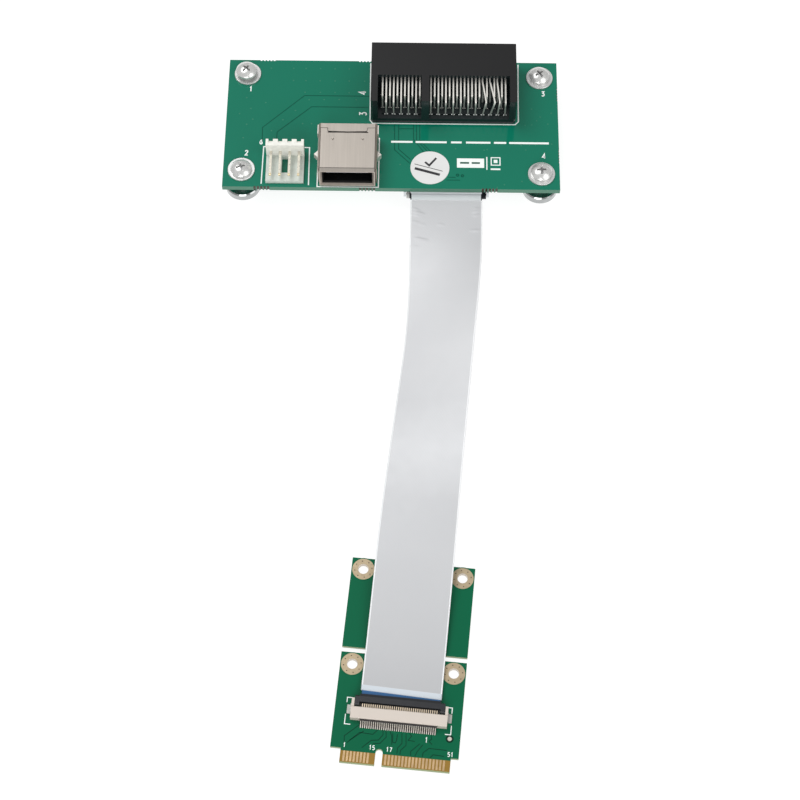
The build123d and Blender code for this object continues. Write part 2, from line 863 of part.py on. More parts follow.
# Edge card, its lower fingers flush with its underside
finger_u = [first_finger_u + i * finger_pitch for i in range(fingers_left)]
finger_u += [first_right_finger_u + i * finger_pitch for i in range(fingers_right)]
with BuildPart() as card_board:
    with BuildSketch(card_deck):
        with BuildLine():
            Polyline(
                (tongue_left, 0),
                (tongue_right, 0),
                (tongue_right, tongue_length),
                (card_width / 2, tongue_length),
                (card_width / 2, card_length),
                (-card_width / 2, card_length),
                (-card_width / 2, tongue_length),
                (tongue_left, tongue_length),
                close=True,
            )
        make_face()
        with Locations((key_u, key_depth - key_width / 2)):
            Circle(key_width / 2, mode=Mode.SUBTRACT)
        with Locations((key_u, 0)):
            Rectangle(
                key_width,
                key_depth - key_width / 2,
                align=(Align.CENTER, Align.MIN),
                mode=Mode.SUBTRACT,
            )
        hole_places_uv = [
            (u, v)
            for u in (-card_hole_spacing_u / 2, card_hole_spacing_u / 2)
            for v in (card_hole_low_v, card_hole_high_v)
        ]
        with Locations(*hole_places_uv):
            Circle(card_hole_diameter / 2, mode=Mode.SUBTRACT)
        # Two slots part the upper half, so that it can be broken off
        break_length = (card_width - break_bridge) / 2
        slot_u = (card_width - break_length) / 2
        with Locations(*[(s * slot_u, break_low_v + break_height / 2) for s in (-1, 1)]):
            Rectangle(break_length, break_height, mode=Mode.SUBTRACT)
    extrude(amount=-card_thickness)
    ends = card_board.edges().filter_by(lambda e: abs(card_deck.to_local_coords(e.center()).Y) < 0.01)
    ends = ends.filter_by(lambda e: abs(e.tangent_at(0.5).Z) < 0.1)
    chamfer(ends, tongue_bevel)
    with BuildSketch(card_deck.offset(-card_thickness)):
        with Locations(*[(u, finger_low_v + finger_length / 2) for u in finger_u]):
            Rectangle(finger_width, finger_length)
    extrude(amount=foil, mode=Mode.SUBTRACT)
save(card_board.part, "card_board")

for name, height in (("card_fingers_top", 0), ("card_fingers_bottom", -card_thickness)):
    with BuildPart(card_deck) as fingers:
        with Locations(*[(u, finger_low_v, height) for u in finger_u]):
            Box(finger_width, finger_length, foil, align=forward)
    save(fingers.part, name)

with BuildPart(card_deck) as card_lands:
    with Locations(*[(u, v, 0) for u, v in hole_places_uv]):
        Cylinder(land_diameter / 2, foil, align=above)
        Cylinder(card_hole_diameter / 2, foil, align=above, mode=Mode.SUBTRACT)
save(card_lands.part, "card_lands")
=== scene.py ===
import bpy
import math
import numpy as np
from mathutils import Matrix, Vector


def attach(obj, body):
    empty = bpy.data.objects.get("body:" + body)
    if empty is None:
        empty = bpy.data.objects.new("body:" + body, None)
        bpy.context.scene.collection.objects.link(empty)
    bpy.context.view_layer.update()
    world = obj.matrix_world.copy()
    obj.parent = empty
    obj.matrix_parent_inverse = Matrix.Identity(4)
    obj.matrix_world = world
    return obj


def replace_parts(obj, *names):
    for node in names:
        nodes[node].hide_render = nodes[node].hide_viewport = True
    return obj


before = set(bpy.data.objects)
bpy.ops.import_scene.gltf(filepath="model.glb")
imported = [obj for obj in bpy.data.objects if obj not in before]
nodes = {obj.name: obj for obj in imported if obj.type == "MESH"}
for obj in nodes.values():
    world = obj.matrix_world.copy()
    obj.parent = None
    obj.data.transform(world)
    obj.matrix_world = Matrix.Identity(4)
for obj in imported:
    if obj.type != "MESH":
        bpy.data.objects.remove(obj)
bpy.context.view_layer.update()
print("frame loaded")

mm = 0.001

# Heights and places shared with the CAD model, in millimetres
deckTop = 7.65
frontY = 57.231
cardTop = 1.0
cardOrigin = (2.6, -97.469)
cardTurn = math.radians(-5.05)
cardU = np.array((math.cos(cardTurn), math.sin(cardTurn)))
cardV = np.array((-math.sin(cardTurn), math.cos(cardTurn)))
cardUp = (float(cardV[0]), float(cardV[1]), 0.0)
cardZero = float(np.dot(cardOrigin, cardV))
portX = -11.58
printFrame = {"scale": 0.996073, "zero": (0.02, 56.007)}   # places of the board's print

inkHeight = 0.035
traceHeight = 0.02


def tint(r, g, b):
    # Screen colour (0 to 255) as linear light: ((c / 255 + 0.055) / 1.055) to the power 2.4, or
    # c / 255 / 12.92 where it is very dark
    c = np.array((r, g, b)) / 255
    low = c / 12.92
    high = ((c + 0.055) / 1.055) ** 2.4
    return (*np.where(c < 0.04045, low, high).tolist(), 1.0)


def darker(colour, share):
    # The colour's light times a share
    return tuple(share * c for c in colour[:3]) + (1,)


def onCard(points):
    # Card place (u, v) to the row frame: origin + u * across + v * along
    p = np.asarray(points, float)
    return np.array(cardOrigin) + p[:, :1] * cardU + p[:, 1:2] * cardV


def onDeck(points):
    # Board place (x, y) to the row frame: place * scale + zero
    return np.asarray(points, float) * printFrame["scale"] + np.array(printFrame["zero"])


def onPort(points):
    # Receptacle place (x, y) to the row frame: place + the middle of its mouth
    return np.asarray(points, float) + (portX, frontY)


# Materials

class Paint:
    # A principled material, with short calls for its nodes
    def __init__(self, name, base, roughness, metallic=0.0, coat=0.0, coatRough=0.1, specular=0.5):
        self.mat = bpy.data.materials.new(name)
        self.mat.use_nodes = True
        self.tree = self.mat.node_tree
        self.shader = self.tree.nodes["Principled BSDF"]
        self.set("Base Color", base)
        self.set("Roughness", roughness)
        self.set("Metallic", metallic)
        self.set("Coat Weight", coat)
        self.set("Coat Roughness", coatRough)
        self.set("Specular IOR Level", specular)
        self.where = self.add("ShaderNodeTexCoord").outputs["Object"]

    def add(self, kind, **values):
        node = self.tree.nodes.new(kind)
        for key, value in values.items():
            setattr(node, key, value)
        return node

    def set(self, name, value):
        self.shader.inputs[name].default_value = value

    def link(self, a, b):
        self.tree.links.new(a, b)

    def feed(self, name, socket):
        self.link(socket, self.shader.inputs[name])

    def stretched(self, scale):
        # Coordinates times a scale for each axis
        node = self.add("ShaderNodeMapping")
        node.inputs["Scale"].default_value = scale
        self.link(self.where, node.inputs["Vector"])
        return node.outputs["Vector"]

    def noise(self, size, detail=3.0, stretch=(1, 1, 1)):
        # Cloud noise whose features are about `size` millimetres wide
        node = self.add("ShaderNodeTexNoise")
        node.inputs["Scale"].default_value = 1 / (size * mm)
        node.inputs["Detail"].default_value = detail
        self.link(self.stretched(stretch), node.inputs["Vector"])
        return node.outputs["Fac"]

    def fade(self, value, low, high, a=0, b=1):
        # Straight line from a to b while value goes from low to high, held outside
        node = self.add("ShaderNodeMapRange")
        for key, number in (("From Min", low), ("From Max", high), ("To Min", a), ("To Max", b)):
            node.inputs[key].default_value = number
        self.link(value, node.inputs["Value"])
        return node.outputs["Result"]

    def cloud(self, size, a=0, b=1, detail=3.0, low=0.3, high=0.7, stretch=(1, 1, 1)):
        # Cloud noise spread over the range from a to b
        return self.fade(self.noise(size, detail, stretch), low, high, a, b)

    def mix(self, factor, a, b):
        # a * (1 - factor) + b * factor, where a and b are colours or sockets
        node = self.add("ShaderNodeMix", data_type="RGBA")
        for socket, value in ((node.inputs[6], a), (node.inputs[7], b)):
            if isinstance(value, tuple):
                socket.default_value = value
            else:
                self.link(value, socket)
        self.link(factor, node.inputs[0])
        return node.outputs[2]

    def math(self, operation, a, b=None):
        node = self.add("ShaderNodeMath", operation=operation)
        for socket, value in zip(node.inputs, (a, b)):
            if value is None:
                continue
            if isinstance(value, (int, float)):
                socket.default_value = value
            else:
                self.link(value, socket)
        return node.outputs[0]

    def along(self, direction, place=0.0):
        # Distance in metres along a direction past a place in millimetres: dot product of the
        # point and the direction, less the place
        node = self.add("ShaderNodeVectorMath", operation="DOT_PRODUCT")
        node.inputs[1].default_value = direction
        self.link(self.where, node.inputs[0])
        return self.math("SUBTRACT", node.outputs["Value"], place * mm)

    def away(self, direction, place=0.0):
        # Distance in metres from a place, to either side
        return self.math("ABSOLUTE", self.along(direction, place))

    def bump(self, height, depth):
        # Bump whose full height is `depth` millimetres
        node = self.add("ShaderNodeBump")
        node.inputs["Distance"].default_value = depth * mm
        self.link(height, node.inputs["Height"])
        self.feed("Normal", node.outputs["Normal"])


def boardPaint(name, mask, edge, middle, half, coat, tongue=None, inside=None):
    # Solder mask within 0.02 mm of a face and glass laminate between the faces. A tongue gives the
    # line below which the face is bare, and its colour. The outline's box gives the bites and
    # bores, which lie inside it and are coloured a darker brown
    p = Paint(name, mask, roughness=0.45, coat=coat, coatRough=0.07, specular=0.05)
    onFace = p.fade(p.away((0, 0, 1), middle), (half - 0.03) * mm, (half - 0.01) * mm)
    face = p.mix(p.cloud(30), mask, darker(mask, 0.93))
    grain = p.mix(p.cloud(0.35, stretch=(1, 1, 4)), edge, darker(edge, 0.8))
    if inside is not None:
        insideBrown = tint(58, 50, 34)
        both = [
            p.fade(p.away(direction, centre), (reach - 0.05) * mm, (reach - 0.02) * mm, 1, 0)
            for direction, centre, reach in inside
        ]
        grain = p.mix(p.math("MULTIPLY", *both), grain, insideBrown)
    if tongue is not None:
        line, bare = tongue
        face = p.mix(p.fade(p.along(cardUp, cardZero + line), -0.05 * mm, 0.05 * mm), bare, face)
    p.feed("Base Color", p.mix(onFace, grain, face))
    p.feed("Roughness", p.fade(onFace, 0, 1, 0.5, 0.34))
    p.bump(p.noise(1.8, 2), 0.0015)
    return p.mat


def metalPaint(name, colour, roughness, size, depth=0.004, dark=0.85, metallic=0.6):
    # Metal with cloudy roughness, a little tarnish and a fine grain
    p = Paint(name, colour, roughness=roughness, metallic=metallic)
    tarnish = p.cloud(size * 2, detail=4, low=0.35, high=0.75)
    p.feed("Base Color", p.mix(tarnish, colour, darker(colour, dark)))
    p.feed("Roughness", p.cloud(size, roughness * 0.8, roughness * 1.3))
    p.bump(p.noise(size * 0.3), depth)
    return p.mat


def plasticPaint(name, colour, roughness, vary=0.85, grain=0.2, depth=0.004, specular=0.5):
    # Moulded plastic, paper or ink with a fine eroded grain and slow colour variation
    p = Paint(name, colour, roughness=roughness, specular=specular)
    p.feed("Base Color", p.mix(p.cloud(5, low=0.35), colour, darker(colour, vary)))
    p.feed("Roughness", p.cloud(1.5, roughness * 0.9, roughness * 1.1))
    p.bump(p.noise(grain, 2), depth)
    return p.mat


def twoTone(name, first, second, direction, place, roughness, metallic=0.0, blur=0.05):
    # One finish that changes from the first colour to the second at a place along a direction, in
    # millimetres, with a fine dark cloud over both
    p = Paint(name, first, roughness=roughness, metallic=metallic)
    both = p.mix(p.fade(p.along(direction, place), -blur * mm, blur * mm), first, second)
    p.feed("Base Color", p.mix(p.cloud(1.2, 0, 0.16), both, (0.02, 0.02, 0.02, 1)))
    p.feed("Roughness", p.cloud(0.6, roughness * 0.85, roughness * 1.15))
    p.bump(p.noise(0.3, 2), 0.003)
    return p.mat


def slotPaint(name, colour, roof, roofHeight):
    # Moulded plastic: grained satin on the roof, smooth and glossy on the sides
    p = Paint(name, colour, roughness=0.17, specular=0.42)
    onRoof = p.fade(p.along((0, 0, 1), roofHeight), -0.03 * mm, -0.01 * mm)
    # The sides' green-grey colour is the black plastic with a painted reflection of the board
    p.feed("Base Color", p.mix(onRoof, colour, p.mix(p.cloud(8), roof, darker(roof, 0.9))))
    p.feed("Roughness", p.fade(onRoof, 0, 1, 0.17, 0.4))
    p.bump(p.math("MULTIPLY", p.noise(0.2, 2), p.fade(onRoof, 0, 1, 0.1, 1)), 0.01)
    return p.mat


def coverPaint(name, colour, side, half, lockHighlight):
    # Brushed nickel: fine lines along Y, rolled bands more than `half` to either side of the
    # middle darkened by painted shade, a crease of painted shade between them, and lock points
    # beyond the bands brightened by a painted highlight
    p = Paint(name, colour, roughness=0.36, metallic=0.7)
    away = p.away((1, 0, 0), portX)
    # Painted shade on the rolled bands and in the crease between them, painted highlight on the
    # locks
    band = p.fade(away, (half - 0.04) * mm, (half + 0.04) * mm)
    rise = p.fade(away, (half - 0.12) * mm, (half - 0.04) * mm)
    fall = p.fade(away, (half + 0.04) * mm, (half + 0.12) * mm, 1, 0)
    lock = p.fade(away, (half + 0.52) * mm, (half + 0.6) * mm)
    lines = p.cloud(0.5, 0, 0.5, detail=4, stretch=(1, 0.03, 1))
    shade = p.mix(band, p.mix(lines, colour, darker(colour, 0.82)), side)
    shade = p.mix(p.math("MULTIPLY", rise, fall), shade, darker(side, 0.35))
    p.feed("Base Color", p.mix(lock, shade, lockHighlight))
    p.feed("Roughness", p.cloud(0.8, 0.32, 0.42, stretch=(1, 0.05, 1)))
    p.bump(p.noise(0.3, 3, (1, 0.03, 1)), 0.0015)
    return p.mat


def screwPaint(name, colour):
    # Bright plated steel, with painted shade at the bottom of the recess
    p = Paint(name, colour, roughness=0.2, metallic=0.6)
    recess = p.add("ShaderNodeAttribute", attribute_name="recess").outputs["Fac"]
    dull = p.mix(p.cloud(1.4, 0, 0.25, low=0.35), colour, darker(colour, 0.6))
    # Painted shade: the recess is darkened towards a fixed grey
    p.feed("Base Color", p.mix(p.fade(recess, 0.2, 0.9), dull, (0.36, 0.36, 0.36, 1)))
    p.feed("Roughness", p.cloud(0.6, 0.22, 0.3))
    p.bump(p.noise(0.25, 2), 0.001)
    return p.mat


paints = {
    "mask": boardPaint(
        "main_board_mask", tint(3, 117, 92), tint(74, 126, 104), 6.85, 0.8, 0.75,
        inside=(((1, 0, 0), 0, 44.9), ((0, 1, 0), frontY + 20.7, 20.7)),
    ),
    "cardMask": boardPaint(
        "card_mask", tint(0, 96, 64), tint(150, 162, 124), 0.5, 0.5, 0.35,
        tongue=(2.85, tint(146, 114, 52)),
    ),
    "steel": metalPaint("polished_steel", tint(184, 186, 186), 0.13, 2.0, 0.002, metallic=1.0),
    "zinc": metalPaint("zinc", tint(224, 224, 223), 0.28, 1.4, 0.001),
    "screw": screwPaint("plated_steel", tint(226, 226, 224)),
    "contact": metalPaint("bright_contacts", tint(232, 228, 222), 0.3, 0.6),
    "leg": metalPaint("tinned_legs", tint(186, 185, 180), 0.34, 0.6),
    "gold": metalPaint("gold_contacts", tint(208, 176, 134), 0.34, 0.7, dark=0.75, metallic=0.75),
    "land": metalPaint("tinned_copper", tint(180, 163, 134), 0.42, 0.6, dark=0.88),
    "barrel": metalPaint("plated_barrel", tint(206, 197, 186), 0.4, 0.6, dark=0.88, metallic=0.5),
    # Cover: side bands of painted shade and lock points with a painted highlight
    "cover": coverPaint(
        "nickel_cover", tint(190, 182, 173), tint(160, 150, 138), 7.3, tint(226, 221, 214)),
    # Black plastic; the sides' green-grey tint is a painted reflection of the board
    "black": slotPaint("black_plastic", tint(26, 34, 36), tint(14, 14, 16), 17.45),
    # Nickel shell in painted shade from 0.85 mm inside its mouth, nearly black there
    "mouth": twoTone(
        "nickel_mouth_shaded_inside", tint(176, 166, 156), tint(14, 14, 16), (0, 1, 0), frontY + 0.85, 0.34, 0.5),
    # One tin: legs below 13.9 mm darkened by painted shade, runs above brightened by painted light
    "pin": twoTone(
        "tinned_pins_shaded_legs", tint(150, 156, 150), tint(238, 235, 228), (0, 0, 1), 13.9, 0.42, 0.3, 0.7),
    "headerPin": twoTone(
        "pale_gold_pins", tint(208, 192, 156), tint(218, 213, 198), (0, 1, 0), frontY + 2.2,
        0.3, 0.6),
    # One plating; the forks past 10.35 mm are paler cream as a painted highlight
    "cardContact": twoTone(
        "plated_forks_highlit", tint(228, 221, 212), tint(244, 224, 196), cardUp, cardZero + 10.35,
        0.3, 0.3),
    # Ivory plastic, greenish grey below 1.25 mm above the board as a painted reflection of the board
    "ivory": twoTone(
        "ivory_plastic", tint(213, 220, 212), tint(246, 246, 238), (0, 0, 1), deckTop + 1.25, 0.42),
    # Black latch whose left end, below 4.9 mm in x, is light grey as a painted glint
    "boardLatch": twoTone(
        "latch_with_glint_end", tint(196, 196, 193), tint(30, 32, 37), (1, 0, 0), 4.9, 0.34),
    "blue": twoTone(
        "stiffener_blue", tint(18, 18, 20), tint(12, 90, 146), cardUp, cardZero + 16.2, 0.4),
    "port": plasticPaint("port_plastic", tint(176, 176, 186), 0.35, depth=0.006),
    "beige": plasticPaint("beige_plastic", tint(208, 198, 188), 0.45, 0.97),
    "latch": plasticPaint("latch_plastic", tint(30, 32, 37), 0.32),
    "paper": plasticPaint("sticker_paper", tint(226, 226, 225), 0.6, 0.97, grain=0.15),
    "pale": plasticPaint("ribbon_end_white", tint(206, 211, 213), 0.45, 0.97),
    "ink": plasticPaint("white_print_and_glints", tint(246, 250, 248), 0.5, 0.97, depth=0.003),
    "darkInk": plasticPaint("dark_print", tint(40, 40, 44), 0.6, 0.9),
    "shade": plasticPaint("shade_line", tint(46, 40, 36), 0.6, 0.9, depth=0.003),
    "gap": plasticPaint("painted_gap_shade", tint(40, 36, 34), 0.6, depth=0.003),
    "trace": plasticPaint("mask_over_copper", tint(0, 80, 62), 0.45, 0.94, 0.5, 0.002, 0.1),
    "cardTrace": plasticPaint(
        "card_mask_over_copper", tint(0, 50, 34), 0.45, 0.94, 0.5, 0.002, 0.1),
    "via": plasticPaint("tented_via", tint(44, 124, 99), 0.5, 0.9, depth=0.002, specular=0.2),
    "hole": plasticPaint("via_hole", tint(62, 44, 26), 0.6, 0.8),
}

nodePaints = {
    "mask": ["main_board"],
    "cardMask": ["card_board"],
    "steel": ["board_feet"],
    "zinc": ["board_screws", "board_washers"],
    "contact": ["slot_pins_upper_inner", "slot_pins_upper_outer", "board_ribbon_contacts"],
    "leg": ["board_ribbon_anchors", "card_ribbon_anchors"],
    "gold": ["card_fingers_top", "card_fingers_bottom", "port_contacts"],
    "land": ["card_lands"],
    "cover": ["port_cover"],
    "black": ["slot_housing"],
    "mouth": ["port_shell"],
    "pin": ["slot_pins_lower_inner", "slot_pins_lower_outer"],
    "headerPin": ["header_pins"],
    "cardContact": ["card_ribbon_contacts"],
    "ivory": ["header_body"],
    "boardLatch": ["board_ribbon_latch"],
    "blue": ["ribbon_end_at_card"],
    "port": ["port_insulator"],
    "beige": ["card_ribbon_housing"],
    "latch": ["card_ribbon_latch"],
    "paper": ["round_sticker"],
    "pale": ["ribbon_end_at_board", "board_ribbon_housing"],
}
for paint, names in nodePaints.items():
    for name in names:
        nodes[name].data.materials.clear()
        nodes[name].data.materials.append(paints[paint])
print("CAD nodes painted")


# Meshes

def newPiece(name, points, faces, paint, smooth=False):
    # Points in millimetres and faces as one mesh at the origin, on the root body
    mesh = bpy.data.meshes.new(name)
    mesh.from_pydata((np.asarray(points, float) * mm).tolist(), [], faces)
    mesh.update()
    mesh.materials.append(paint)
    if smooth:
        mesh.polygons.foreach_set("use_smooth", [True] * len(mesh.polygons))
    piece = bpy.data.objects.new(name, mesh)
    bpy.context.scene.collection.objects.link(piece)
    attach(piece, "adapter")
    return piece


def gridFaces(rows, columns, start=0, closed=False):
    # Quads between each point, the next in its row and the same two of the next row
    last = columns if closed else columns - 1
    i, j = np.meshgrid(np.arange(rows - 1), np.arange(last), indexing="ij")
    i, j = i.ravel(), j.ravel()
    k = (j + 1) % columns
    quads = (i * columns + j, i * columns + k, (i + 1) * columns + k, (i + 1) * columns + j)
    return (np.stack(quads, 1) + start).tolist()


def barFaces(rings, start, closed):
    # Faces along a row of four-cornered rings, all four or all but the last, and over its ends
    last = start + 4 * (len(rings) - 1)
    ends = [[start + 3, start + 2, start + 1, start], [last, last + 1, last + 2, last + 3]]
    return gridFaces(len(rings), 4, start, closed) + ends


def strokes(name, lines, paint, base, height):
    # Raised flat lines. Each has points, a width and a closed flag. At each point the two sides
    # lie along the mean of its two runs' normals, half a width away over the cosine of half the
    # bend. The section goes from low right over high right and high left to low left, and its
    # underside, which lies on the board, is left open
    points, faces = [], []
    for line in lines:
        p = np.asarray(line["points"], float)
        closed = line.get("closed", False)
        run = np.diff(np.vstack((p, p[:1])) if closed else p, axis=0)
        run /= np.linalg.norm(run, axis=1)[:, None]
        before = np.roll(run, 1, axis=0) if closed else np.vstack((run[:1], run))
        after = run if closed else np.vstack((run, run[-1:]))
        side = np.stack((-(before + after)[:, 1], (before + after)[:, 0]), 1)
        side /= np.linalg.norm(side, axis=1)[:, None]
        normal = np.stack((-after[:, 1], after[:, 0]), 1)
        reach = line["width"] / 2 / np.maximum((side * normal).sum(1), 0.4)
        left, right = p + side * reach[:, None], p - side * reach[:, None]
        low, high = np.full((len(p), 1), base), np.full((len(p), 1), base + height)
        corners = ((right, low), (right, high), (left, high), (left, low))
        rings = np.stack([np.hstack(corner) for corner in corners], 1)
        if closed:
            rings = np.concatenate((rings, rings[:1]))
            faces += gridFaces(len(rings), 4, len(points))
        else:
            faces += barFaces(rings, len(points), False)
        points += rings.reshape(-1, 3).tolist()
    return newPiece(name, points, faces, paint)


def bar(x, y, length, width, turn=0.0):
    # A straight stroke centred on (x, y)
    d = length / 2 * np.array((math.cos(math.radians(turn)), math.sin(math.radians(turn))))
    return {"points": [np.array((x, y)) - d, np.array((x, y)) + d], "width": width}


def placed(lines, place=onDeck):
    # The same strokes with their points carried to the row frame
    return [{**line, "points": place(line["points"])} for line in lines]


# Strokes of plain numbers in a box one wide and two high
numberStrokes = {
    "1": [(0.2, 1.6), (0.55, 2.0), (0.55, 0.0)],
    "2": [
        (0.05, 1.55), (0.25, 1.93), (0.6, 2.0), (0.92, 1.75), (0.92, 1.4), (0.6, 0.9),
        (0.05, 0.03), (1.0, 0.03),
    ],
    "3": [
        (0.1, 1.95), (0.9, 1.95), (0.45, 1.2), (0.8, 1.1), (0.98, 0.7), (0.85, 0.2), (0.5, 0.0),
        (0.05, 0.2),
    ],
    "4": [(0.75, 0.0), (0.75, 2.0), (0.0, 0.55), (1.05, 0.55)],
    "5": [
        (0.92, 1.97), (0.2, 1.97), (0.12, 1.15), (0.6, 1.22), (0.95, 0.9), (0.92, 0.3), (0.5, 0.0),
        (0.05, 0.15),
    ],
    "6": [
        (0.85, 1.95), (0.4, 1.6), (0.1, 0.9), (0.15, 0.25), (0.5, 0.0), (0.88, 0.2), (0.92, 0.8),
        (0.55, 1.1), (0.15, 0.9),
    ],
    "7": [(0.05, 1.97), (0.98, 1.97), (0.4, 0.0)],
}
numberStep = 1.5   # from one number to the next, in widths of the box


def number(text, x, y, height, width, turn=0.0, place=onDeck):
    # Numbers centred on (x, y): their box scaled to the height, set in a row and turned
    lines = []
    c, s = math.cos(math.radians(turn)), math.sin(math.radians(turn))
    middle = (numberStep * len(text) - 0.5) / 2
    for i, digit in enumerate(text):
        p = (np.array(numberStrokes[digit]) + (numberStep * i - middle, -1.0)) * height / 2
        p = np.stack((c * p[:, 0] - s * p[:, 1], s * p[:, 0] + c * p[:, 1]), 1)
        lines.append({"points": place(p + np.array((x, y))), "width": width})
    return lines


def dots(name, places, radius, paint, base, height, hole=0.01, count=20):
    # Flat discs, or rings where a hole is given: four rings of points around each place
    a = np.linspace(0, 2 * math.pi, count, endpoint=False)
    ring = np.stack((np.cos(a), np.sin(a)), 1)
    low, high = np.full((count, 1), base), np.full((count, 1), base + height)
    points, faces = [], []
    for place in places:
        faces += gridFaces(4, count, len(points), True)
        for r, z in ((radius, low), (radius, high), (hole, high), (hole, low)):
            points += np.hstack((ring * r + place, z)).tolist()
    return newPiece(name, points, faces, paint)


def turned(name, places, profile, paint, count=96):
    # A closed profile (r, height) turned about a vertical line at each place (x, y, z):
    # (x + r cos a, y + r sin a, z + height), with edges sharper than 30 degrees kept
    a = np.linspace(0, 2 * math.pi, count, endpoint=False)
    r, h = np.asarray(profile, float).T
    points, faces = [], []
    for x, y, z in places:
        rings = np.stack((
            x + np.outer(r, np.cos(a)), y + np.outer(r, np.sin(a)),
            np.outer(z + h, np.ones(count)),
        ), 2)
        start = len(points)
        points += rings.reshape(-1, 3).tolist()
        faces += gridFaces(len(r), count, start, True)
        first = start + np.arange(count)
        last = first + (len(r) - 1) * count
        faces += np.stack((last, np.roll(last, -1), np.roll(first, -1), first), 1).tolist()
    piece = newPiece(name, points, faces, paint, smooth=True)
    piece.data.set_sharp_from_angle(angle=math.radians(30))
    return piece


def drawn(name, profile, span, paint):
    # A closed profile (y, z) carried straight along X over the span, with its two ends closed
    p = np.asarray(profile, float)
    rings = np.stack([np.column_stack((np.full(len(p), x), p)) for x in span])
    ends = [list(range(len(p)))[::-1], list(range(len(p), 2 * len(p)))]
    return newPiece(name, rings.reshape(-1, 3), gridFaces(2, len(p), 0, True) + ends, paint)


# Screws, washers and feet
fasteners = {
    # Middle of each hole, the lift of its screw, the turn of its cross and the washer's shift
    "holes": [
        (-40.0, 62.231, 0.0, 20, (0.0, 0.25)), (-40.0, 93.631, 1.0, 50, (0.28, 0.12)),
        (40.0, 62.231, 0.0, 5, (0.0, -0.15)), (40.0, 93.631, 0.0, 35, (0.08, -0.3)),
    ],
    "foot": [
        (1.5, 0), (4.45, 0), (4.75, 0.3), (4.75, 2.2), (4.45, 2.5), (2.75, 2.5), (2.75, 6.05),
        (1.5, 6.05),
    ],
    "footShift": 0.2,
    "washer": [
        (1.8, 0.06), (1.86, 0), (3.54, 0), (3.6, 0.06), (3.6, 0.44), (3.52, 0.5), (1.88, 0.5),
        (1.8, 0.44),
    ],
    "seat": 0.5,   # washer's thickness, below the head
    "headRadius": 2.8,
    "headRim": 0.7,
    "headHeight": 1.8,
    "headCurve": 2.4,
    "cross": (1.35, 0.3, 0.9),   # arm length, half width and depth
    "crossWalls": (0.5, 0.1),   # run of the slope at an arm's end and at its sides
    "shank": (1.45, 7.0),
    "count": 144,
}


def screws(name, paint):
    # Head height: rim + rise * (1 - (r / R)^2.4), less a cross whose depth falls to nothing over
    # the last half millimetre of each arm and over a narrow wall at its sides
    radius, rim, count = fasteners["headRadius"], fasteners["headRim"], fasteners["count"]
    rise = fasteners["headHeight"] - rim
    arm, half, depth = fasteners["cross"]
    armEnd, armSide = fasteners["crossWalls"]
    shank, length = fasteners["shank"]
    a = np.linspace(0, 2 * math.pi, count, endpoint=False)
    r = np.concatenate((np.linspace(0.002, 1.75, 40), np.linspace(1.85, radius, 14)))
    x, y = np.outer(r, np.cos(a)), np.outer(r, np.sin(a))
    along, aside = np.maximum(abs(x), abs(y)), np.minimum(abs(x), abs(y))
    cut = np.clip((arm - along) / armEnd, 0, 1) * np.clip((half - aside) / armSide, 0, 1)
    top = rim + rise * (1 - (r / radius) ** fasteners["headCurve"])[:, None] - depth * cut
    lower = np.array((
        (radius, rim - 0.05), (radius, 0.06), (radius - 0.06, 0), (shank, 0), (shank, -length),
        (0.002, -length),
    ))
    x = np.vstack((x, np.outer(lower[:, 0], np.cos(a))))
    y = np.vstack((y, np.outer(lower[:, 0], np.sin(a))))
    z = np.vstack((top, np.outer(lower[:, 1], np.ones(count))))
    cut = np.vstack((cut, np.zeros((len(lower), count))))
    points, faces, shade = [], [], []
    for hx, hy, lift, spin, _ in fasteners["holes"]:
        c, s = math.cos(math.radians(spin)), math.sin(math.radians(spin))
        start = len(points)
        last = start + (len(z) - 1) * count
        seat = deckTop + fasteners["seat"] + lift
        rings = np.stack((hx + c * x - s * y, hy + s * x + c * y, seat + z), 2)
        points += rings.reshape(-1, 3).tolist()
        faces += [face[::-1] for face in gridFaces(len(z), count, start, True)]
        faces += [list(range(start, start + count)), list(range(last, last + count))[::-1]]
        shade += cut.ravel().tolist()
    piece = newPiece(name, points, faces, paint, smooth=True)
    piece.data.set_sharp_from_angle(angle=math.radians(35))
    piece.data.attributes.new("recess", "FLOAT", "POINT").data.foreach_set("value", shade)
    return piece


washerPlaces = [(x + dx, y + dy, deckTop) for x, y, _, _, (dx, dy) in fasteners["holes"]]
footPlaces = [(x, y + fasteners["footShift"], 0.0) for x, y, *_ in fasteners["holes"]]
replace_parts(screws("screws", paints["screw"]), "board_screws")
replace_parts(turned("washers", washerPlaces, fasteners["washer"], paints["zinc"]), "board_washers")
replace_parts(turned("feet", footPlaces, fasteners["foot"], paints["steel"]), "board_feet")
print("fasteners made")


